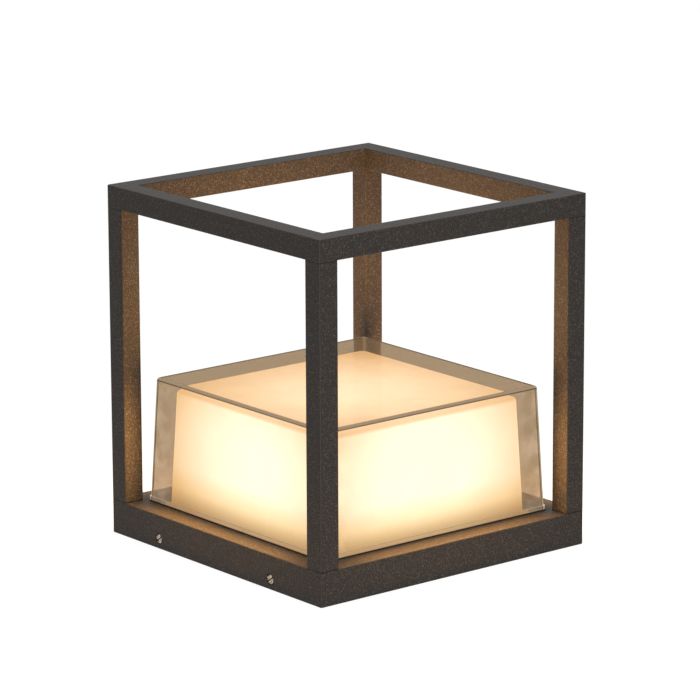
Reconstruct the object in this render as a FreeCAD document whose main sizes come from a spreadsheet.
import FreeCAD, Part
import math
import os

import Sketcher
from FreeCAD import Placement, Rotation, Vector

# A square lantern for the top of a garden column. A die-cast base housing carries four tube
# posts and a welded top frame. Inside stand a clear outer cover and an opal diffuser, lit
# from below by a board of lensed LEDs. The gear hangs under a tray inside the base, and the
# whole lantern drops over a mounting plate that is bolted to the column.
# Frame: origin at the centre of the underside, +Z up, front face towards -Y. Millimetres.

doc = FreeCAD.newDocument("column_lantern")
dims = doc.addObject("Spreadsheet::Sheet", "dims")

SIZES = [
    ("side", 300, "overall width and depth"),
    ("height", 320, "overall height"),
    ("corner_round", 1.5, "radius of the upright outer corners"),
    ("edge_break", 0.5, "broken outer top and bottom edges"),
    ("fit_gap", 0.05, "clearance of a pressed-in piece"),
    ("base_rise", 31, "underside to deck"),
    ("skirt_wall", 3, "wall of the base skirt"),
    ("deck_thick", 3, "thickness of the deck"),
    ("cast_round", 5, "inside corner radius of the casting"),
    ("rib_thick", 2, "thickness of the ribs under the deck"),
    ("rib_deep", 3, "depth of those ribs"),
    ("least_round", 0.3, "smallest inside corner radius"),
    ("rail_deep", 20, "height of the top frame"),
    ("rail_wall", 1.5, "wall of the top frame tube"),
    ("corner_plug", 5, "solid length of each rail beyond the post"),
    ("weep_radius", 2, "vent hole under each rail"),
    ("post_side", 20, "side of the square post"),
    ("post_wall", 1.5, "wall of the post"),
    ("post_seat", 1.5, "depth of the post's seat in the top frame"),
    ("seat_gap", 0.1, "clearance beside the post's seat"),
    ("spigot_rise", 6, "length of the spigots inside the posts"),
    ("spigot_gap", 0.2, "clearance round the spigots"),
    ("rod_radius", 2.95, "M6 tie rod"),
    ("rod_hole", 3.3, "clearance hole for the tie rod"),
    ("rod_tap", 3, "tapped hole in the top frame"),
    ("rod_grip", 12, "thread length in the top frame"),
    ("rod_tail", 2, "rod standing out of its nut"),
    ("rod_clear", 0.5, "least gap between washer and skirt"),
    ("tap_over", 1, "tapped hole past its thread"),
    ("rod_boss", 8, "radius of the boss round the tie rod"),
    ("washer_radius", 6, "M6 washer"),
    ("washer_thick", 1.6, "M6 washer"),
    ("nut_flats", 10, "M6 nut across flats"),
    ("nut_thick", 5, "M6 nut"),
    ("cover_margin", 3.9, "post to clear cover at the deck"),
    ("cover_rise", 114, "deck to the top of the clear cover"),
    ("cover_draft", 2.5, "draft of the clear cover, degrees"),
    ("cover_wall", 3, "wall of the clear cover"),
    ("cover_round", 3.5, "corner radius of the clear cover"),
    ("cover_crown", 3, "top edge radius of the clear cover"),
    ("bead_proud", 1, "bead round the foot of the clear cover"),
    ("bead_rise", 3.5, "bead round the foot of the clear cover"),
    ("bead_round", 0.5, "top edge radius of that bead"),
    ("flange_gap", 0.7, "flange of the clear cover to the tray screw bosses"),
    ("flange_thick", 3, "flange of the clear cover"),
    ("flange_round", 14, "corner radius of that flange"),
    ("gasket_thick", 1.5, "gasket on the flange"),
    ("lip_thick", 1.1, "gasket lip between cover and deck"),
    ("lip_proud", 0.8, "gasket lip above the deck"),
    ("lip_gap", 0.1, "clearance each side of the gasket lip"),
    ("air_gap", 9.75, "cover to diffuser at the deck"),
    ("diffuser_rise", 103, "deck to the top of the diffuser"),
    ("diffuser_draft", 2.55, "draft of the diffuser, degrees"),
    ("diffuser_wall", 2.5, "wall of the diffuser"),
    ("diffuser_round", 8, "corner radius of the diffuser"),
    ("diffuser_crown", 3.5, "top edge radius of the diffuser"),
    ("foot_wide", 8, "foot flange of the diffuser"),
    ("foot_thick", 2.5, "foot flange of the diffuser"),
    ("tray_thick", 2, "gear tray sheet"),
    ("tray_gap", 1.5, "skirt to gear tray"),
    ("lug_radius", 5.2, "boss for a tray screw"),
    ("lug_inset", 4.8, "skirt to the axis of a tray screw"),
    ("rib_reach", 70, "ribs from the middle"),
    ("m4_radius", 1.95, "M4 screw"),
    ("m4_tap", 2, "M4 tapped hole"),
    ("m4_hole", 2.25, "M4 clearance hole"),
    ("m4_head", 4.1, "M4 pan head radius"),
    ("m4_head_deep", 2.4, "M4 pan head height"),
    ("m3_radius", 1.45, "M3 screw"),
    ("m3_tap", 1.5, "M3 tapped hole"),
    ("m3_hole", 1.7, "M3 clearance hole"),
    ("m3_head", 2.75, "M3 pan head radius"),
    ("m3_head_deep", 2, "M3 pan head height"),
    ("screw_tail", 1, "screw standing through the tray"),
    ("board_side", 150, "LED board"),
    ("board_thick", 1.6, "LED board"),
    ("board_round", 3, "corner radius of the board and its pad"),
    ("pad_thick", 0.5, "thermal pad under the board"),
    ("board_screw", 68, "board screws from the middle"),
    ("led_pitch", 48, "LED spacing"),
    ("chip_side", 5, "LED package"),
    ("chip_thick", 1.2, "LED package"),
    ("lens_radius", 8, "foot of the wide-angle lens"),
    ("lens_top", 5, "top of the wide-angle lens"),
    ("lens_rise", 5, "wide-angle lens"),
    ("lens_well", 4, "radius of the hollow under the lens"),
    ("lens_well_deep", 1.6, "depth of that hollow"),
    ("link_long", 8, "board connector along the lead"),
    ("link_wide", 12, "board connector across the lead"),
    ("link_rise", 7, "board connector height"),
    ("link_inset", 1, "board edge to connector"),
    ("link_y", 38, "board connector from the middle"),
    ("bush_radius", 6, "grommet in the gear tray"),
    ("bush_bore", 3.6, "bore of that grommet"),
    ("bush_lip", 1.5, "width and height of that grommet's lip"),
    ("bush_lip_thick", 0.75, "edge of that lip"),
    ("bush_reach", 96, "grommet from the middle"),
    ("driver_long", 150, "LED driver"),
    ("driver_wide", 40, "LED driver"),
    ("driver_deep", 15, "LED driver"),
    ("driver_y", 50, "driver from the middle"),
    ("driver_round", 3, "corner radius of the driver"),
    ("ear_long", 12, "driver's fixing ear"),
    ("ear_wide", 16, "driver's fixing ear"),
    ("ear_thick", 1.5, "driver's fixing ear"),
    ("block_long", 36, "terminal block"),
    ("block_wide", 20, "terminal block"),
    ("block_deep", 14, "terminal block"),
    ("block_y", -60, "terminal block from the middle"),
    ("block_pitch", 10, "terminal spacing"),
    ("block_lug", 8, "terminal block's fixing lug"),
    ("port_radius", 1.5, "wire port"),
    ("port_deep", 5, "wire port"),
    ("well_deep", 2.5, "screw well of the terminal block"),
    ("lead_radius", 1.2, "supply lead"),
    ("led_lead_radius", 0.9, "LED lead"),
    ("lead_drop", 9.5, "gear tray to the leads under it"),
    ("lead_stop", 1, "end of a lead to the bottom of its port"),
    ("led_pitch_pair", 4.8, "spacing of the LED leads"),
    ("supply_pitch", 5, "spacing of the supply leads at the driver"),
    ("tag_radius", 5, "earth tag"),
    ("tag_thick", 1, "earth tag"),
    ("tag_x", 42, "earth tag from the middle"),
    ("tag_y", -90, "earth tag from the middle"),
    ("neck_reach", 8, "eye of the tag to the start of its neck"),
    ("neck_long", 5, "neck of the tag"),
    ("barrel_reach", 15, "eye of the tag to the end of its barrel"),
    ("barrel_long", 9, "crimped barrel of the tag"),
    ("barrel_bore", 6, "depth of the barrel's bore"),
    ("barrel_wall", 0.5, "wall of the barrel"),
    ("barrel_gap", 0.1, "clearance round the lead in the barrel"),
    ("plate_thick", 2, "mounting plate sheet"),
    ("plate_rise", 17, "upturned edge of the mounting plate"),
    ("bend_round", 1.2, "inside radius of that plate's bends"),
    ("plate_edge", 220, "length of the upturned edge"),
    ("plate_corner", 22, "corner cut of the mounting plate"),
    ("plate_gap", 1, "housing boss to mounting plate"),
    ("bolt_reach", 80, "column bolts from the middle"),
    ("bolt_radius", 3.5, "column bolt hole"),
    ("entry_hole", 9, "cable hole in the mounting plate"),
    ("entry_bore", 4, "bore of the cable grommet"),
    ("entry_lip", 12, "lip of the cable grommet"),
    ("entry_lip_thick", 1, "edge of that lip"),
    ("entry_rise", 9, "height of the cable grommet"),
    ("side_reach", 80, "side screws from the middle"),
    ("side_level", 9.3, "side screws above the underside"),
    ("side_boss", 7.5, "half side of the boss behind a side screw"),
    ("side_boss_deep", 2.5, "boss behind a side screw"),
    ("side_recess", 5, "recess of a side screw's head"),
    ("side_recess_deep", 2.6, "recess of a side screw's head"),
    ("side_screw_long", 12, "side screw under its head"),
    ("slot_wide", 1.1, "slot of a side screw"),
    ("slot_deep", 1, "slot of a side screw"),
    ("slot_turn", 57, "slot of a side screw from upright, degrees"),
    ("insert_radius", 3, "threaded insert"),
    ("insert_lip", 4.5, "lip of the threaded insert"),
    ("insert_lip_thick", 0.8, "lip of the threaded insert"),
    ("insert_long", 7, "threaded insert"),
]

for row, (alias, size, note) in enumerate(SIZES, start=1):
    dims.set(f"A{row}", alias)
    dims.set(f"B{row}", str(size))
    dims.set(f"C{row}", note)
    dims.setAlias(f"B{row}", alias)
doc.recompute()

# Levels and reaches that several pieces share, as expressions on the sheet.
HALF = "(dims.side / 2)"
SKIRT_IN = f"({HALF} - dims.skirt_wall)"
DECK_UNDER = "(dims.base_rise - dims.deck_thick)"
FRAME_UNDER = "(dims.height - dims.rail_deep)"
POST_TOP = f"({FRAME_UNDER} + dims.post_seat)"
POST_SPOT = f"({HALF} - dims.post_side / 2)"
POST_INNER = f"({HALF} - dims.post_side)"
FLANGE_TOP = f"({DECK_UNDER} - dims.gasket_thick)"
TRAY_TOP = f"({FLANGE_TOP} - dims.flange_thick)"
TRAY_UNDER = f"({TRAY_TOP} - dims.tray_thick)"
WASHER_UNDER = f"({TRAY_UNDER} - dims.washer_thick)"
NUT_UNDER = f"({WASHER_UNDER} - dims.nut_thick)"
TRAY_HALF = f"({SKIRT_IN} - dims.tray_gap)"
LUG_SPOT = f"({SKIRT_IN} - dims.lug_inset)"
ROD_SPOT = f"min({POST_SPOT}; {SKIRT_IN} - dims.washer_radius - dims.rod_clear)"
COVER_DECK = f"({POST_INNER} - dims.cover_margin)"
COVER_FOOT = f"({COVER_DECK} + tan(dims.cover_draft) * (dims.base_rise - {TRAY_TOP}))"
LIP_IN = f"({COVER_FOOT} + dims.lip_gap)"
LIP_OUT = f"({LIP_IN} + dims.lip_thick)"
OPENING = f"({LIP_OUT} + dims.lip_gap)"
FLANGE_HALF = f"({LUG_SPOT} - dims.lug_radius - dims.flange_gap)"
DIFFUSER_DECK = f"({COVER_DECK} - dims.cover_wall - dims.air_gap)"
DIFFUSER_FOOT = f"({DIFFUSER_DECK} + tan(dims.diffuser_draft) * (dims.base_rise - {TRAY_TOP}))"
FOOT_SCREW = f"({DIFFUSER_FOOT} + dims.foot_wide / 2)"
BOARD_UNDER = f"({TRAY_TOP} + dims.pad_thick)"
BOARD_TOP = f"({BOARD_UNDER} + dims.board_thick)"
LINK_FACE = "(dims.board_side / 2 - dims.link_inset)"
PLATE_FACE = f"({SKIRT_IN} - dims.side_boss_deep - dims.plate_gap)"
DRIVER_END = "(dims.driver_long / 2)"
LEAD_LEVEL = f"({TRAY_UNDER} - dims.lead_drop)"
TINY = 0.01


# Building blocks --------------------------------------------------------------------------

def number(text):
    """Work out an expression on the sheet."""
    found = dims.evalExpression(text.replace("dims.", ""))
    return float(getattr(found, "Value", found))


def bind(thing, **sizes):
    """Tie properties to expressions; a double underscore in a name stands for a dot."""
    for name, text in sizes.items():
        thing.setExpression(name.replace("__", "."), text)
    return thing


def place(thing, x="0", y="0", z="0"):
    """Tie a thing's place to expressions."""
    return bind(thing, Placement__Base__x=x, Placement__Base__y=y, Placement__Base__z=z)


def new_body(name):
    body = doc.addObject("PartDesign::Body", name)
    body.Label = name
    return body


def new_sketch(body, name, level="0", role="XY_Plane"):
    """A sketch on one of the body's origin planes, raised along the plane's normal."""
    sketch = body.newObject("Sketcher::SketchObject", f"{body.Name}_{name}")
    plane = next(item for item in body.Origin.OriginFeatures if item.Role == role)
    sketch.AttachmentSupport = [(plane, "")]
    sketch.MapMode = "FlatFace"
    sketch.setExpression("AttachmentOffset.Base.z", level)
    return sketch


def measure(sketch, kind, where, text):
    """Add one driving measure to a sketch and tie it to an expression."""
    index = sketch.addConstraint(Sketcher.Constraint(kind, *where, number(text)))
    sketch.setExpression(f"Constraints[{index}]", text)


def draw_outline(sketch, corners):
    """Add a closed outline through corners, each a pair of expressions."""
    spots = [Vector(number(x), number(y)) for x, y in corners]
    sides = [Part.LineSegment(a, b) for a, b in zip(spots, spots[1:] + spots[:1])]
    lines = sketch.addGeometry(sides, False)
    for line, following, (x, y) in zip(lines, lines[1:] + lines[:1], corners):
        sketch.addConstraint(Sketcher.Constraint("Coincident", line, 2, following, 1))
        measure(sketch, "DistanceX", (-1, 1, line, 1), x)
        measure(sketch, "DistanceY", (-1, 1, line, 1), y)


def draw_rounded_square(sketch, half, radius):
    """Add a square about the origin with rounded corners."""
    reach, bend = number(half), number(radius)
    flat = reach - bend
    lines, arcs = [], []
    for quarter in range(4):
        turn = Rotation(Vector(0, 0, 1), 90 * quarter)
        start, end = turn * Vector(-flat, -reach), turn * Vector(flat, -reach)
        centre = turn * Vector(flat, -flat)
        circle = Part.Circle(centre, Vector(0, 0, 1), bend)
        first = math.radians(90 * (quarter - 1))
        lines.append(sketch.addGeometry(Part.LineSegment(start, end), False))
        arcs.append(sketch.addGeometry(Part.ArcOfCircle(circle, first, first + math.pi / 2), False))
    for quarter in range(4):
        line, arc, following = lines[quarter], arcs[quarter], lines[(quarter + 1) % 4]
        sketch.addConstraint(Sketcher.Constraint("Tangent", line, 2, arc, 1))
        sketch.addConstraint(Sketcher.Constraint("Tangent", arc, 2, following, 1))
        level, across = quarter % 2 == 0, -1 if quarter in (0, 3) else 1
        sketch.addConstraint(Sketcher.Constraint("Horizontal" if level else "Vertical", line))
        kind = "DistanceY" if level else "DistanceX"
        measure(sketch, kind, (-1, 1, line, 1), half if across > 0 else f"-{half}")
        if quarter:
            sketch.addConstraint(Sketcher.Constraint("Equal", arcs[0], arc))
    measure(sketch, "Radius", (arcs[0],), radius)


def draw_circles(sketch, centres, radius):
    """Add equal circles at centres, each a pair of expressions."""
    for x, y in centres:
        spot = Vector(number(x), number(y))
        circle = sketch.addGeometry(Part.Circle(spot, Vector(0, 0, 1), number(radius)), False)
        measure(sketch, "DistanceX", (-1, 1, circle, 3), x)
        measure(sketch, "DistanceY", (-1, 1, circle, 3), y)
        measure(sketch, "Radius", (circle,), radius)


def rectangle(x_low, x_high, y_low, y_high):
    """The corners of an upright rectangle."""
    return [(x_low, y_low), (x_high, y_low), (x_high, y_high), (x_low, y_high)]


def mid_sides(reach):
    """A spot on the middle of each side."""
    return [(reach, "0"), (f"-{reach}", "0"), ("0", reach), ("0", f"-{reach}")]


def four_ways(x, y):
    """A spot in each quarter."""
    return [(x, y), (f"-{x}", y), (f"-{x}", f"-{y}"), (x, f"-{y}")]


def pad(body, sketch, length, taper="0"):
    """Add material along the sketch's normal; a taper narrows it."""
    feature = body.newObject("PartDesign::Pad", f"{sketch.Name}_pad")
    feature.Profile = sketch
    bind(feature, Length=length, TaperAngle=f"-({taper})")
    doc.recompute()
    return feature


def pocket(body, sketch, depth, forward=False):
    """Cut against the sketch's normal, or along it, and make sure that something was cut."""
    before = body.Shape.Volume
    feature = body.newObject("PartDesign::Pocket", f"{sketch.Name}_pocket")
    feature.Profile = sketch
    feature.Reversed = forward
    bind(feature, Length=depth)
    doc.recompute()
    if body.Shape.Volume > before - TINY:
        raise ValueError(f"{sketch.Name} cuts nothing")
    return feature


def mirror(body, features, role):
    """Repeat features on the other side of an origin plane."""
    feature = body.newObject("PartDesign::Mirrored", f"{features[0].Name}_mirror")
    feature.Originals = features
    plane = next(item for item in body.Origin.OriginFeatures if item.Role == role)
    feature.MirrorPlane = (plane, [""])
    body.Tip = feature
    doc.recompute()
    return feature


def dress(body, kind, size, wanted):
    """Fillet or chamfer the edges whose bounding box passes a test."""
    base = body.Tip
    names = [f"Edge{n}" for n, edge in enumerate(base.Shape.Edges, 1) if wanted(edge.BoundBox)]
    feature = body.newObject(f"PartDesign::{kind}", f"{base.Name}_{kind.lower()}")
    feature.Base = (base, names)
    bind(feature, **{"Radius" if kind == "Fillet" else "Size": size})
    doc.recompute()
    return feature


def reach_of(box):
    """How far a bounding box reaches from the upright middle axis."""
    return max(box.XMax, -box.XMin, box.YMax, -box.YMin)


def primitive(kind, name, **sizes):
    return bind(doc.addObject(f"Part::{kind}", name), **sizes)


def boolean(kind, name, base, tool):
    """Cut, fuse or common of two shapes, as a named sub-part."""
    result = doc.addObject(f"Part::{kind}", name)
    result.Base, result.Tool = base, tool
    result.Label = name
    return result


def copies(name, source, spots, turns=None):
    """One sub-part of equal separate solids: a spot is three expressions, a turn a rotation."""
    links = []
    for count, (x, y, z) in enumerate(spots):
        link = doc.addObject("App::Link", f"{name}_{count}")
        link.LinkedObject = source
        link.Placement = Placement(Vector(), turns[count] if turns else Rotation())
        links.append(place(link, x, y, z))
    group = doc.addObject("Part::Compound", name)
    group.Links = links
    group.Label = name
    return group


def cap_screw(name, shank, length, head, head_deep):
    """A pan head screw that points up, its head's bearing face at the origin."""
    body = new_body(name)
    sketch = new_sketch(body, "shank")
    draw_circles(sketch, [("0", "0")], shank)
    pad(body, sketch, length)
    sketch = new_sketch(body, "head", f"-{head_deep}")
    draw_circles(sketch, [("0", "0")], head)
    pad(body, sketch, head_deep)
    return body


# Frame -------------------------------------------------------------------------------------

def base_housing():
    """Die-cast tray, open below, with the deck opening, bosses, lugs, ribs and spigots."""
    body = new_body("base_housing")
    sketch = new_sketch(body, "outside")
    draw_rounded_square(sketch, HALF, "dims.corner_round")
    pad(body, sketch, "dims.base_rise")
    rise = number("dims.base_rise")
    dress(body, "Chamfer", "dims.edge_break", lambda box: box.ZMin > rise - TINY or box.ZMax < TINY)
    sketch = new_sketch(body, "hollow")
    draw_rounded_square(sketch, SKIRT_IN, "dims.cast_round")
    pocket(body, sketch, DECK_UNDER, forward=True)
    sketch = new_sketch(body, "opening", "dims.base_rise")
    draw_rounded_square(sketch, OPENING, f"dims.cover_round + {OPENING} - {COVER_FOOT}")
    pocket(body, sketch, "dims.deck_thick")

    sketch = new_sketch(body, "bosses", TRAY_TOP)
    draw_circles(sketch, four_ways(ROD_SPOT, ROD_SPOT), "dims.rod_boss")
    draw_circles(sketch, mid_sides(LUG_SPOT), "dims.lug_radius")
    pad(body, sketch, f"{DECK_UNDER} - {TRAY_TOP}")
    sketch = new_sketch(body, "ribs", f"{DECK_UNDER} - dims.rib_deep")
    rib_near = f"({FLANGE_HALF} + dims.tray_gap)"
    for way in (-1, 1):
        low = f"({way} * dims.rib_reach - dims.rib_thick / 2)"
        high = f"({way} * dims.rib_reach + dims.rib_thick / 2)"
        draw_outline(sketch, rectangle(rib_near, SKIRT_IN, low, high))
        draw_outline(sketch, rectangle(f"-{SKIRT_IN}", f"-{rib_near}", low, high))
        draw_outline(sketch, rectangle(low, high, rib_near, SKIRT_IN))
        draw_outline(sketch, rectangle(low, high, f"-{SKIRT_IN}", f"-{rib_near}"))
    pad(body, sketch, "dims.rib_deep")
    add_spigots(body, "dims.base_rise", "dims.base_rise")

    sketch = new_sketch(body, "rod_holes", TRAY_TOP)
    draw_circles(sketch, four_ways(ROD_SPOT, ROD_SPOT), "dims.rod_hole")
    pocket(body, sketch, f"dims.base_rise + dims.spigot_rise - {TRAY_TOP}", forward=True)
    sketch = new_sketch(body, "lug_taps", TRAY_TOP)
    draw_circles(sketch, mid_sides(LUG_SPOT), "dims.m4_tap")
    pocket(body, sketch, f"{DECK_UNDER} - {TRAY_TOP} + dims.tap_over", forward=True)

    side_spots = [("dims.side_reach", "dims.side_level"), ("-dims.side_reach", "dims.side_level")]
    sketch = new_sketch(body, "side_bosses", f"{SKIRT_IN} - dims.side_boss_deep", "YZ_Plane")
    for across, level in side_spots:
        draw_outline(sketch, rectangle(f"{across} - dims.side_boss", f"{across} + dims.side_boss",
                                       f"{level} - dims.side_boss", f"{level} + dims.side_boss"))
    bosses = pad(body, sketch, "dims.side_boss_deep")
    sketch = new_sketch(body, "side_holes", HALF, "YZ_Plane")
    draw_circles(sketch, side_spots, "dims.m4_hole")
    holes = pocket(body, sketch, "dims.skirt_wall + dims.side_boss_deep")
    sketch = new_sketch(body, "side_recesses", HALF, "YZ_Plane")
    draw_circles(sketch, side_spots, "dims.side_recess")
    recesses = pocket(body, sketch, "dims.side_recess_deep")
    mirror(body, [bosses, holes, recesses], "YZ_Plane")
    return body


def add_spigots(body, bottom, seat):
    """Four square spigots from a level up, which the post tubes fit over."""
    half = "(dims.post_side / 2 - dims.post_wall - dims.spigot_gap)"
    sketch = new_sketch(body, "spigots", bottom)
    near, far = f"({POST_SPOT} - {half})", f"({POST_SPOT} + {half})"
    for x_low, x_high in ((near, far), (f"-{far}", f"-{near}")):
        for y_low, y_high in ((near, far), (f"-{far}", f"-{near}")):
            draw_outline(sketch, rectangle(x_low, x_high, y_low, y_high))
    pad(body, sketch, "dims.spigot_rise")


def post(name, x_way, y_way):
    """Square tube between the deck and its seat in the top frame."""
    body = new_body(name)
    sketch = new_sketch(body, "tube")
    draw_rounded_square(sketch, "(dims.post_side / 2)", "dims.corner_round")
    pad(body, sketch, f"{POST_TOP} - dims.base_rise")
    sketch = new_sketch(body, "bore")
    inner_round = "max(dims.corner_round - dims.post_wall; dims.least_round)"
    draw_rounded_square(sketch, "(dims.post_side / 2 - dims.post_wall)", inner_round)
    pocket(body, sketch, f"{POST_TOP} - dims.base_rise", forward=True)
    return place(body, f"{x_way} * {POST_SPOT}", f"{y_way} * {POST_SPOT}", "dims.base_rise")


def top_frame():
    """Four mitred tubes, welded and ground flush, with plugged corners that seat the posts."""
    body = new_body("top_frame")
    sketch = new_sketch(body, "outside", FRAME_UNDER)
    draw_rounded_square(sketch, HALF, "dims.corner_round")
    pad(body, sketch, "dims.rail_deep")
    sketch = new_sketch(body, "window", "dims.height")
    draw_outline(sketch, rectangle(f"-{POST_INNER}", POST_INNER, f"-{POST_INNER}", POST_INNER))
    pocket(body, sketch, "dims.rail_deep")
    low, high = number(FRAME_UNDER), number("dims.height")
    dress(body, "Chamfer", "dims.edge_break", lambda box: box.ZMin > high - TINY or box.ZMax < low + TINY)

    sketch = new_sketch(body, "seats", FRAME_UNDER)
    near, far = f"({POST_INNER} - dims.seat_gap)", f"({HALF} + dims.seat_gap)"
    for x_low, x_high in ((near, far), (f"-{far}", f"-{near}")):
        for y_low, y_high in ((near, far), (f"-{far}", f"-{near}")):
            draw_outline(sketch, rectangle(x_low, x_high, y_low, y_high))
    pocket(body, sketch, "dims.post_seat", forward=True)

    sketch = new_sketch(body, "tube_bores", "dims.height - dims.rail_wall")
    reach = f"({POST_INNER} - dims.corner_plug)"
    near, far = f"({POST_INNER} + dims.rail_wall)", f"({HALF} - dims.rail_wall)"
    for low_side, high_side in ((near, far), (f"-{far}", f"-{near}")):
        draw_outline(sketch, rectangle(f"-{reach}", reach, low_side, high_side))
        draw_outline(sketch, rectangle(low_side, high_side, f"-{reach}", reach))
    pocket(body, sketch, "dims.rail_deep - 2 * dims.rail_wall")
    sketch = new_sketch(body, "weep_holes", FRAME_UNDER)
    draw_circles(sketch, mid_sides(POST_SPOT), "dims.weep_radius")
    pocket(body, sketch, "dims.rail_wall", forward=True)

    add_spigots(body, f"{POST_TOP} - dims.spigot_rise", POST_TOP)
    sketch = new_sketch(body, "rod_taps", f"{POST_TOP} - dims.spigot_rise")
    draw_circles(sketch, four_ways(ROD_SPOT, ROD_SPOT), "dims.rod_tap")
    pocket(body, sketch, "dims.spigot_rise + dims.rod_grip + dims.tap_over", forward=True)
    return body


def tie_rods():
    """M6 rods inside the posts, from the top frame down to their washers and nuts."""
    rod = primitive("Cylinder", "rod", Radius="dims.rod_radius",
                    Height=f"{POST_TOP} + dims.rod_grip - {NUT_UNDER} + dims.rod_tail")
    return copies("tie_rods", rod, at_corners(f"{NUT_UNDER} - dims.rod_tail"))


def at_corners(level):
    """The four tie rod axes at one level."""
    return [(x, y, level) for x, y in four_ways(ROD_SPOT, ROD_SPOT)]


def tie_rod_washers():
    disc = primitive("Cylinder", "washer_disc", Radius="dims.washer_radius", Height="dims.washer_thick")
    hole = primitive("Cylinder", "washer_hole", Radius="dims.rod_hole", Height="dims.washer_thick")
    washer = boolean("Cut", "washer", disc, hole)
    return copies("tie_rod_washers", washer, at_corners(WASHER_UNDER))


def tie_rod_nuts():
    hexagon = primitive("Prism", "nut_hexagon", Circumradius="dims.nut_flats / 2 / cos(30)",
                        Height="dims.nut_thick")
    hexagon.Polygon = 6
    hole = primitive("Cylinder", "nut_hole", Radius="dims.rod_tap", Height="dims.nut_thick")
    nut = boolean("Cut", "nut", hexagon, hole)
    return copies("tie_rod_nuts", nut, at_corners(NUT_UNDER))


# Cover, diffuser and their seals ------------------------------------------------------------

def drafted_block(name, foot_half, rise, draft, bend, crown):
    """A square block on the tray's level that narrows upwards, with rounded corners and top."""
    body = new_body(name)
    block = body.newObject("PartDesign::AdditiveWedge", f"{name}_block")
    plane = next(item for item in body.Origin.OriginFeatures if item.Role == "XZ_Plane")
    block.AttachmentSupport = [(plane, "")]
    block.MapMode = "FlatFace"
    top_half = f"({foot_half} - tan({draft}) * (dims.base_rise + {rise} - {TRAY_TOP}))"
    bind(block, Ymin=TRAY_TOP, Ymax=f"dims.base_rise + {rise}",
         Xmin=f"-{foot_half}", Xmax=foot_half, Zmin=f"-{foot_half}", Zmax=foot_half,
         X2min=f"-{top_half}", X2max=top_half, Z2min=f"-{top_half}", Z2max=top_half)
    doc.recompute()
    tall, top = number(rise), number(f"dims.base_rise + {rise}")
    dress(body, "Fillet", bend, lambda box: box.ZLength > tall / 2)
    dress(body, "Fillet", crown, lambda box: box.ZMin > top - TINY)
    return body


def hood(name, foot_half, rise, draft, wall, bend, crown, flange, screws):
    """A moulded box, open below: a block less its core, with a flat flange round its foot."""
    outside = drafted_block(f"{name}_outside", foot_half, rise, draft, bend, crown)
    core_half = f"({foot_half} - {wall} / cos({draft}))"
    core = drafted_block(f"{name}_core", core_half, f"({rise} - {wall})", draft,
                         f"max({bend} - {wall}; dims.least_round)",
                         f"max({crown} - {wall}; dims.least_round)")
    shell = boolean("Cut", f"{name}_shell", outside, core)
    wide, thick, flange_bend = flange
    rim = new_body(f"{name}_flange")
    sketch = new_sketch(rim, "outline", TRAY_TOP)
    draw_rounded_square(sketch, f"({foot_half} + {wide})", flange_bend)
    draw_rounded_square(sketch, f"({foot_half} - {wall} / 2)", f"max({bend} - {wall} / 2; dims.least_round)")
    draw_circles(sketch, screws, "dims.m3_hole")
    pad(rim, sketch, thick)
    return boolean("Fuse", name, shell, rim)


def clear_cover():
    """Clear outer cover, held by its flange under the deck, with a bead that sits on the gasket."""
    flange = (f"({FLANGE_HALF} - {COVER_FOOT})", "dims.flange_thick", "dims.flange_round")
    plain = hood("cover_hood", COVER_FOOT, "dims.cover_rise", "dims.cover_draft", "dims.cover_wall",
                 "dims.cover_round", "dims.cover_crown", flange, [])
    bead = new_body("cover_bead")
    foot = "(dims.base_rise + dims.lip_proud)"
    sketch = new_sketch(bead, "outline", foot)
    draw_rounded_square(sketch, f"({COVER_DECK} + dims.bead_proud)", "(dims.cover_round + dims.bead_proud)")
    draw_rounded_square(sketch, f"({COVER_DECK} - dims.cover_wall / 2)",
                        "max(dims.cover_round - dims.cover_wall / 2; dims.least_round)")
    pad(bead, sketch, "dims.bead_rise")
    top = number(f"{foot} + dims.bead_rise")
    dress(bead, "Fillet", "dims.bead_round", lambda box: box.ZMin > top - TINY)
    return boolean("Fuse", "clear_cover", plain, bead)


def cover_gasket():
    """Silicone gasket on the flange, with a lip that shows round the foot of the cover."""
    body = new_body("cover_gasket")
    bend = f"(dims.cover_round + {LIP_IN} - {COVER_FOOT})"
    sketch = new_sketch(body, "seat", FLANGE_TOP)
    draw_rounded_square(sketch, FLANGE_HALF, "dims.flange_round")
    draw_rounded_square(sketch, LIP_IN, bend)
    pad(body, sketch, "dims.gasket_thick")
    sketch = new_sketch(body, "lip", DECK_UNDER)
    draw_rounded_square(sketch, LIP_OUT, f"({bend} + dims.lip_thick)")
    draw_rounded_square(sketch, LIP_IN, bend)
    pad(body, sketch, "dims.deck_thick + dims.lip_proud")
    return body


def opal_diffuser():
    """Opal inner box on the gear tray, its foot flange drilled for screws."""
    flange = ("dims.foot_wide", "dims.foot_thick", "(dims.diffuser_round + dims.foot_wide)")
    return hood("opal_diffuser", DIFFUSER_FOOT, "dims.diffuser_rise", "dims.diffuser_draft",
                "dims.diffuser_wall", "dims.diffuser_round", "dims.diffuser_crown", flange,
                mid_sides(FOOT_SCREW))


def diffuser_screws():
    screw = cap_screw("diffuser_screw", "dims.m3_radius",
                      "dims.foot_thick + dims.tray_thick + dims.screw_tail",
                      "dims.m3_head", "dims.m3_head_deep")
    level = f"{TRAY_TOP} + dims.foot_thick"
    spots = [(x, y, level) for x, y in mid_sides(FOOT_SCREW)]
    return copies("diffuser_screws", screw, spots, [Rotation(Vector(1, 0, 0), 180)] * len(spots))


# Gear tray and what it carries ---------------------------------------------------------------

def block_screw_spots():
    reach = "(dims.block_long / 2 + dims.block_lug / 2)"
    return [(reach, "dims.block_y"), (f"-{reach}", "dims.block_y")]


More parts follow.
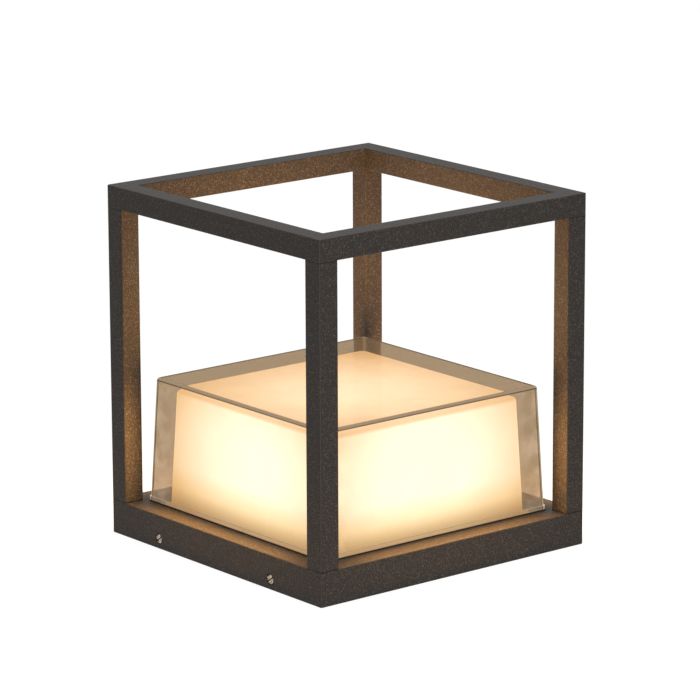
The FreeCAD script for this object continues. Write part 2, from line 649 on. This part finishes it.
def driver_screw_spots():
    reach = f"({DRIVER_END} + dims.ear_long / 2)"
    return [(reach, "dims.driver_y"), (f"-{reach}", "dims.driver_y")]


def board_screw_spots():
    return four_ways("dims.board_screw", "dims.board_screw")


def gear_tray():
    """Aluminium sheet that clamps the cover's flange and cools the LEDs."""
    body = new_body("gear_tray")
    sketch = new_sketch(body, "sheet", TRAY_UNDER)
    draw_rounded_square(sketch, TRAY_HALF, "dims.cast_round")
    pad(body, sketch, "dims.tray_thick")
    holes = [
        ("rod_holes", four_ways(ROD_SPOT, ROD_SPOT), "dims.rod_hole"),
        ("screw_holes", mid_sides(LUG_SPOT), "dims.m4_hole"),
        ("foot_taps", mid_sides(FOOT_SCREW), "dims.m3_tap"),
        ("board_taps", board_screw_spots(), "dims.m3_tap"),
        ("gear_taps", block_screw_spots() + driver_screw_spots(), "dims.m3_tap"),
        ("earth_tap", [("dims.tag_x", "dims.tag_y")], "dims.m4_tap"),
        ("bush_hole", [("dims.bush_reach", "dims.link_y")], "dims.bush_radius - dims.bush_lip"),
    ]
    for name, spots, radius in holes:
        sketch = new_sketch(body, name, TRAY_TOP)
        draw_circles(sketch, spots, radius)
        pocket(body, sketch, "dims.tray_thick")
    return body


def gear_tray_screws():
    screw = cap_screw("gear_tray_screw", "dims.m4_radius", f"{DECK_UNDER} - {TRAY_UNDER}",
                      "dims.m4_head", "dims.m4_head_deep")
    return copies("gear_tray_screws", screw, [(x, y, TRAY_UNDER) for x, y in mid_sides(LUG_SPOT)])


def sheet_square(name, level, half, thick, spots, hole):
    """A square sheet with screw holes."""
    body = new_body(name)
    sketch = new_sketch(body, "sheet", level)
    draw_rounded_square(sketch, half, "dims.board_round")
    draw_circles(sketch, spots, hole)
    pad(body, sketch, thick)
    return body


def led_spots():
    """Eight LEDs in a square ring: a grid of three by three without its middle."""
    steps = (-1, 0, 1)
    return [(f"{x} * dims.led_pitch", f"{y} * dims.led_pitch") for x in steps for y in steps if x or y]


def led_chips():
    chip = primitive("Box", "led_chip", Length="dims.chip_side", Width="dims.chip_side",
                     Height="dims.chip_thick")
    spots = [(f"{x} - dims.chip_side / 2", f"{y} - dims.chip_side / 2", BOARD_TOP) for x, y in led_spots()]
    return copies("led_chips", chip, spots)


def led_lenses():
    """Wide-angle lenses: tapered and hollowed over their LEDs."""
    bell = primitive("Cone", "lens_bell", Radius1="dims.lens_radius", Radius2="dims.lens_top",
                     Height="dims.lens_rise")
    well = primitive("Cylinder", "lens_hollow", Radius="dims.lens_well", Height="dims.lens_well_deep")
    lens = boolean("Cut", "led_lens", bell, well)
    return copies("led_lenses", lens, [(x, y, BOARD_TOP) for x, y in led_spots()])


def led_board_screws():
    screw = cap_screw("led_board_screw", "dims.m3_radius",
                      "dims.board_thick + dims.pad_thick + dims.tray_thick",
                      "dims.m3_head", "dims.m3_head_deep")
    spots = [(x, y, BOARD_TOP) for x, y in board_screw_spots()]
    return copies("led_board_screws", screw, spots, [Rotation(Vector(1, 0, 0), 180)] * len(spots))


# The pair of LED leads runs in line with the board's connector and the tray's grommet.
LED_LEAD_SIDES = ("(dims.link_y - dims.led_pitch_pair / 2)", "(dims.link_y + dims.led_pitch_pair / 2)")
LED_LEAD_LEVEL = f"({BOARD_TOP} + dims.link_rise / 2)"


def board_connector():
    """Push-in connector on the edge of the board, with two wire ports."""
    body = new_body("board_connector")
    sketch = new_sketch(body, "case", BOARD_TOP)
    draw_outline(sketch, rectangle(f"{LINK_FACE} - dims.link_long", LINK_FACE,
                                   "dims.link_y - dims.link_wide / 2", "dims.link_y + dims.link_wide / 2"))
    pad(body, sketch, "dims.link_rise")
    top = number(f"{BOARD_TOP} + dims.link_rise")
    dress(body, "Chamfer", "dims.edge_break", lambda box: box.ZMin > top - TINY)
    sketch = new_sketch(body, "ports", LINK_FACE, "YZ_Plane")
    draw_circles(sketch, [(side, LED_LEAD_LEVEL) for side in LED_LEAD_SIDES], "dims.port_radius")
    pocket(body, sketch, "dims.port_deep")
    return body


def bush(name, level, hole, sheet, lip, lip_thick, bore, top):
    """A rubber bush, turned about its axis: a lip on the sheet, and a nose a third as wide."""
    body = new_body(name)
    sketch = new_sketch(body, "profile", role="XZ_Plane")
    seat, nose = f"{level} + {sheet}", f"{bore} + ({lip} - {bore}) / 3"
    draw_outline(sketch, [
        (bore, level), (hole, level), (hole, seat), (lip, seat), (lip, f"{seat} + {lip_thick}"),
        (nose, top), (bore, top),
    ])
    turned = body.newObject("PartDesign::Revolution", f"{name}_turned")
    turned.Profile = sketch
    turned.ReferenceAxis = (sketch, ["V_Axis"])
    doc.recompute()
    return body


def tray_grommet():
    hole = "(dims.bush_radius - dims.bush_lip - dims.fit_gap)"
    body = bush("tray_grommet", TRAY_UNDER, hole, "dims.tray_thick", "dims.bush_radius",
                "dims.bush_lip_thick", "dims.bush_bore", f"{TRAY_TOP} + dims.bush_lip")
    return place(body, "dims.bush_reach", "dims.link_y")


def driver():
    """Potted LED driver under the tray, with an ear and two wire ports at each end."""
    body = new_body("driver")
    low, high = "(dims.driver_y - dims.driver_wide / 2)", "(dims.driver_y + dims.driver_wide / 2)"
    sketch = new_sketch(body, "case", f"{TRAY_UNDER} - dims.driver_deep")
    draw_outline(sketch, rectangle(f"-{DRIVER_END}", DRIVER_END, low, high))
    pad(body, sketch, "dims.driver_deep")
    deep = number("dims.driver_deep")
    dress(body, "Fillet", "dims.driver_round", lambda box: box.ZLength > deep - TINY)
    sketch = new_sketch(body, "ears", f"{TRAY_UNDER} - dims.ear_thick")
    reach = f"({DRIVER_END} + dims.ear_long)"
    draw_outline(sketch, rectangle(f"-{reach}", reach, "dims.driver_y - dims.ear_wide / 2",
                                   "dims.driver_y + dims.ear_wide / 2"))
    draw_circles(sketch, driver_screw_spots(), "dims.m3_hole")
    pad(body, sketch, "dims.ear_thick")
    sketch = new_sketch(body, "output_ports", DRIVER_END, "YZ_Plane")
    draw_circles(sketch, [(side, LEAD_LEVEL) for side in LED_LEAD_SIDES], "dims.port_radius")
    pocket(body, sketch, "dims.port_deep")
    sketch = new_sketch(body, "supply_ports", f"-{DRIVER_END}", "YZ_Plane")
    sides = [(f"dims.driver_y + {step} * dims.supply_pitch", LEAD_LEVEL) for step in (0, 1)]
    draw_circles(sketch, sides, "dims.port_radius")
    pocket(body, sketch, "dims.port_deep", forward=True)
    return body


def driver_screws():
    screw = cap_screw("driver_screw", "dims.m3_radius", "dims.ear_thick + dims.tray_thick",
                      "dims.m3_head", "dims.m3_head_deep")
    spots = [(x, y, f"{TRAY_UNDER} - dims.ear_thick") for x, y in driver_screw_spots()]
    return copies("driver_screws", screw, spots)


def terminal_block():
    """Three-way terminal block under the tray, with wire ports on both faces."""
    body = new_body("terminal_block")
    low, high = "(dims.block_y - dims.block_wide / 2)", "(dims.block_y + dims.block_wide / 2)"
    sketch = new_sketch(body, "case", f"{TRAY_UNDER} - dims.block_deep")
    draw_outline(sketch, rectangle("-dims.block_long / 2", "dims.block_long / 2", low, high))
    pad(body, sketch, "dims.block_deep")
    sketch = new_sketch(body, "lugs", f"{TRAY_UNDER} - dims.foot_thick")
    reach = "(dims.block_long / 2 + dims.block_lug)"
    draw_outline(sketch, rectangle(f"-{reach}", reach, "dims.block_y - dims.block_lug / 2",
                                   "dims.block_y + dims.block_lug / 2"))
    draw_circles(sketch, block_screw_spots(), "dims.m3_hole")
    pad(body, sketch, "dims.foot_thick")
    ways = [f"{step} * dims.block_pitch" for step in (-1, 0, 1)]
    for name, face, forward in (("inner_ports", high, True), ("outer_ports", low, False)):
        sketch = new_sketch(body, name, f"-{face}", "XZ_Plane")
        draw_circles(sketch, [(way, LEAD_LEVEL) for way in ways], "dims.port_radius")
        pocket(body, sketch, "dims.port_deep", forward=forward)
    sketch = new_sketch(body, "screw_wells", f"{TRAY_UNDER} - dims.block_deep")
    draw_circles(sketch, [(way, "dims.block_y") for way in ways], "dims.m4_hole")
    pocket(body, sketch, "dims.well_deep", forward=True)
    return body


def terminal_block_screws():
    screw = cap_screw("block_screw", "dims.m3_radius", "dims.foot_thick + dims.tray_thick",
                      "dims.m3_head", "dims.m3_head_deep")
    spots = [(x, y, f"{TRAY_UNDER} - dims.foot_thick") for x, y in block_screw_spots()]
    return copies("terminal_block_screws", screw, spots)


def earth_screw():
    screw = cap_screw("earth_screw", "dims.m4_radius", "dims.tag_thick + dims.tray_thick + dims.screw_tail",
                      "dims.m4_head", "dims.m4_head_deep")
    return place(screw, "dims.tag_x", "dims.tag_y", f"{TRAY_UNDER} - dims.tag_thick")


TAG_BARREL = "(dims.tag_x - dims.barrel_reach)"
TAG_LEVEL = f"({TRAY_UNDER} - dims.lead_radius - dims.barrel_wall)"


def earth_tag():
    """Ring tag under the earth screw, with a neck and a crimped barrel for its lead."""
    under = f"{TRAY_UNDER} - dims.tag_thick"
    ring = place(primitive("Cylinder", "tag_ring", Radius="dims.tag_radius", Height="dims.tag_thick"),
                 "dims.tag_x", "dims.tag_y", under)
    neck = place(primitive("Box", "tag_neck", Length="dims.neck_long", Width="dims.lead_radius * 2",
                           Height="dims.tag_thick"),
                 "dims.tag_x - dims.neck_reach", "dims.tag_y - dims.lead_radius", under)
    barrel = primitive("Cylinder", "tag_barrel", Radius="dims.lead_radius + dims.barrel_wall",
                       Height="dims.barrel_long")
    hole = primitive("Cylinder", "tag_bore", Radius="dims.lead_radius + dims.barrel_gap",
                     Height="dims.barrel_bore")
    for piece in (barrel, hole):
        piece.Placement = Placement(Vector(), Rotation(Vector(0, 1, 0), 90))
        place(piece, TAG_BARREL, "dims.tag_y", TAG_LEVEL)
    eye = place(primitive("Cylinder", "tag_eye", Radius="dims.m4_hole", Height="dims.tag_thick"),
                "dims.tag_x", "dims.tag_y", under)
    flat = boolean("Fuse", "tag_flat", ring, neck)
    eyed = boolean("Cut", "tag_eyed", flat, eye)
    solid = boolean("Fuse", "tag_solid", eyed, barrel)
    return boolean("Cut", "earth_tag", solid, hole)


def lead(name, routes, radius):
    """Leads through hand-chosen points, as straight runs joined by tangent arcs."""
    size = number(radius)
    solids = []
    for route in routes:
        points = [Vector(*(number(str(value)) for value in point)) for point in route]
        start, edges = points[0], []
        for before, corner, after in zip(points, points[1:], points[2:]):
            come, go = (corner - before), (after - corner)
            turn = come.getAngle(go)
            trim = 0.45 * min(come.Length, go.Length)
            bend = trim / math.tan(turn / 2)
            come.normalize(), go.normalize()
            begin, end = corner - come * trim, corner + go * trim
            inward = (go - come).normalize()
            middle = corner + inward * (bend / math.cos(turn / 2) - bend)
            edges.append(Part.LineSegment(start, begin).toShape())
            edges.append(Part.Arc(begin, middle, end).toShape())
            start = end
            print(f"{name}: arc radius {bend:.1f} mm")
        edges.append(Part.LineSegment(start, points[-1]).toShape())
        path = Part.Wire(edges)
        ring = Part.Wire(Part.Circle(points[0], points[1] - points[0], size).toShape())
        solid = path.makePipe(Part.Face(ring))
        print(f"{name}: volume ratio {solid.Volume / (math.pi * size ** 2 * path.Length):.4f}")
        solids.append(solid)
    feature = doc.addObject("Part::Feature", name)
    feature.Label = name
    feature.Shape = solids[0] if len(solids) == 1 else Part.makeCompound(solids)
    return feature


def supply_leads():
    """Live and neutral leads from the terminal block round to the driver."""
    start_y = "dims.block_y + dims.block_wide / 2 - dims.port_deep + dims.lead_stop"
    end_x = f"-{DRIVER_END} + dims.port_deep - dims.lead_stop"
    far_y = "dims.driver_y + dims.supply_pitch"
    outer = [("-dims.block_pitch", start_y), ("-dims.block_pitch", -34), (-52, -22), (-96, 6), (-99, far_y),
             (end_x, far_y)]
    inner = [(0, start_y), (0, -26), (-44, -14), (-86, 12), (-89, "dims.driver_y"), (end_x, "dims.driver_y")]
    routes = [[(x, y, LEAD_LEVEL) for x, y in route] for route in (outer, inner)]
    return lead("supply_leads", routes, "dims.lead_radius")


def led_leads():
    """The pair from the driver up through the tray's grommet to the board."""
    routes = [[(f"{DRIVER_END} - dims.port_deep + dims.lead_stop", side, LEAD_LEVEL),
               ("dims.bush_reach", side, LEAD_LEVEL),
               ("dims.bush_reach", side, LED_LEAD_LEVEL),
               (f"{LINK_FACE} - dims.port_deep + dims.lead_stop", side, LED_LEAD_LEVEL)]
              for side in LED_LEAD_SIDES]
    return lead("led_leads", routes, "dims.led_lead_radius")


def earth_lead():
    """Earth lead from the outer side of the terminal block to its tag."""
    start_y = "dims.block_y - dims.block_wide / 2 + dims.port_deep - dims.lead_stop"
    route = [("dims.block_pitch", start_y, LEAD_LEVEL), ("dims.block_pitch", -80, LEAD_LEVEL),
             (19, "dims.tag_y", TAG_LEVEL),
             (f"{TAG_BARREL} + dims.barrel_bore - dims.lead_stop", "dims.tag_y", TAG_LEVEL)]
    return lead("earth_lead", [route], "dims.lead_radius")


# Mounting plate and side screws ---------------------------------------------------------------

def mounting_plate():
    """Folded sheet bolted to the column, its two upturned edges drilled for the inserts."""
    body = new_body("mounting_plate")
    sketch = new_sketch(body, "profile", "-dims.plate_edge / 2", "XZ_Plane")
    inner = f"({PLATE_FACE} - dims.plate_thick)"
    draw_outline(sketch, [
        (f"-{PLATE_FACE}", "0"), (PLATE_FACE, "0"), (PLATE_FACE, "dims.plate_rise"),
        (inner, "dims.plate_rise"), (inner, "dims.plate_thick"), (f"-{inner}", "dims.plate_thick"),
        (f"-{inner}", "dims.plate_rise"), (f"-{PLATE_FACE}", "dims.plate_rise"),
    ])
    pad(body, sketch, "dims.plate_edge")
    face, near, thick = number(PLATE_FACE), number(inner), number("dims.plate_thick")
    outside = "dims.bend_round + dims.plate_thick"
    dress(body, "Fillet", outside, lambda box: box.ZMax < TINY and box.XLength < TINY
          and reach_of(box) > face - TINY)
    dress(body, "Fillet", "dims.bend_round", lambda box: abs(box.ZMin - thick) < TINY
          and box.ZLength < TINY and box.XLength < TINY and abs(reach_of(box) - near) < TINY)
    sketch = new_sketch(body, "tongues")
    tongue, end = f"({PLATE_FACE} - dims.plate_corner)", f"({PLATE_FACE})"
    draw_outline(sketch, rectangle(f"-{tongue}", tongue, f"-{end}", end))
    pad(body, sketch, "dims.plate_thick")
    sketch = new_sketch(body, "bolt_holes")
    draw_circles(sketch, four_ways("dims.bolt_reach", "dims.bolt_reach"), "dims.bolt_radius")
    pocket(body, sketch, "dims.plate_thick", forward=True)
    sketch = new_sketch(body, "entry")
    draw_circles(sketch, [("0", "0")], "dims.entry_hole")
    pocket(body, sketch, "dims.plate_thick", forward=True)
    sketch = new_sketch(body, "insert_holes", PLATE_FACE, "YZ_Plane")
    spots = [("dims.side_reach", "dims.side_level"), ("-dims.side_reach", "dims.side_level")]
    draw_circles(sketch, spots, "dims.insert_radius + dims.fit_gap")
    pocket(body, sketch, f"2 * {PLATE_FACE}")
    return body


def cable_grommet():
    return bush("cable_grommet", "0", "(dims.entry_hole - dims.fit_gap)", "dims.plate_thick",
                "dims.entry_lip", "dims.entry_lip_thick", "dims.entry_bore", "dims.entry_rise")


def side_spots(reach, twist="0"):
    """The four side screws: a spot and the way that each points, inwards along X."""
    spots = [(f"{x_way} * {reach}", f"{y_way} * dims.side_reach", "dims.side_level")
             for x_way in (1, -1) for y_way in (1, -1)]
    about = Rotation(Vector(0, 0, 1), number(twist))
    turns = [Rotation(Vector(0, 1, 0), -90 * x_way) * about for x_way in (1, 1, -1, -1)]
    return spots, turns


def plate_inserts():
    """Threaded inserts with a lip on the outside of each upturned edge."""
    body = new_body("plate_insert")
    sketch = new_sketch(body, "profile", role="XZ_Plane")
    lip_top = "-dims.insert_lip_thick"
    draw_outline(sketch, [
        ("dims.m4_tap", lip_top), ("dims.insert_lip", lip_top), ("dims.insert_lip", "0"),
        ("dims.insert_radius", "0"), ("dims.insert_radius", "dims.insert_long"),
        ("dims.m4_tap", "dims.insert_long"),
    ])
    turned = body.newObject("PartDesign::Revolution", "plate_insert_turned")
    turned.Profile = sketch
    turned.ReferenceAxis = (sketch, ["V_Axis"])
    doc.recompute()
    return copies("plate_inserts", body, *side_spots(PLATE_FACE))


def side_screws():
    """Slotted screws through the skirt into the inserts; they hold the lantern down."""
    body = cap_screw("side_screw", "dims.m4_radius", "dims.side_screw_long",
                     "dims.m4_head", "dims.m4_head_deep")
    sketch = new_sketch(body, "slot", "-dims.m4_head_deep")
    draw_outline(sketch, rectangle("-dims.m4_head", "dims.m4_head",
                                   "-dims.slot_wide / 2", "dims.slot_wide / 2"))
    pocket(body, sketch, "dims.slot_deep", forward=True)
    return copies("side_screws", body, *side_spots(f"({HALF} - dims.side_recess_deep)", "dims.slot_turn"))


# Assembly ----------------------------------------------------------------------------------

PARTS = [
    base_housing(), top_frame(),
    post("post_front_left", -1, -1), post("post_front_right", 1, -1),
    post("post_back_left", -1, 1), post("post_back_right", 1, 1),
    tie_rods(), tie_rod_washers(), tie_rod_nuts(),
    clear_cover(), cover_gasket(), opal_diffuser(), diffuser_screws(),
    gear_tray(), gear_tray_screws(), tray_grommet(),
    sheet_square("thermal_pad", TRAY_TOP, "(dims.board_side / 2)", "dims.pad_thick",
                 board_screw_spots(), "dims.m3_hole"),
    sheet_square("led_board", BOARD_UNDER, "(dims.board_side / 2)", "dims.board_thick",
                 board_screw_spots(), "dims.m3_hole"),
    led_chips(), led_lenses(), led_board_screws(), board_connector(), led_leads(),
    driver(), driver_screws(), terminal_block(), terminal_block_screws(), supply_leads(),
    earth_screw(), earth_tag(), earth_lead(),
    mounting_plate(), cable_grommet(), plate_inserts(), side_screws(),
]

doc.recompute()
for thing in doc.Objects:
    if {"Invalid", "Error"} & set(thing.State):
        raise RuntimeError(f"{thing.Name} failed: {thing.State}")
for part in PARTS:
    if part.Shape.isNull() or not part.Shape.isValid():
        raise RuntimeError(f"{part.Label} has no valid shape")

os.makedirs("parts", exist_ok=True)
for part in PARTS:
    part.Shape.exportStep(f"parts/{part.Label}.step")
    box = part.Shape.BoundBox
    print(f"{part.Label}: {len(part.Shape.Solids)} solids, {part.Shape.Volume / 1000:.2f} cm3,"
          f" x {box.XMin:.2f}..{box.XMax:.2f}, y {box.YMin:.2f}..{box.YMax:.2f},"
          f" z {box.ZMin:.2f}..{box.ZMax:.2f}")
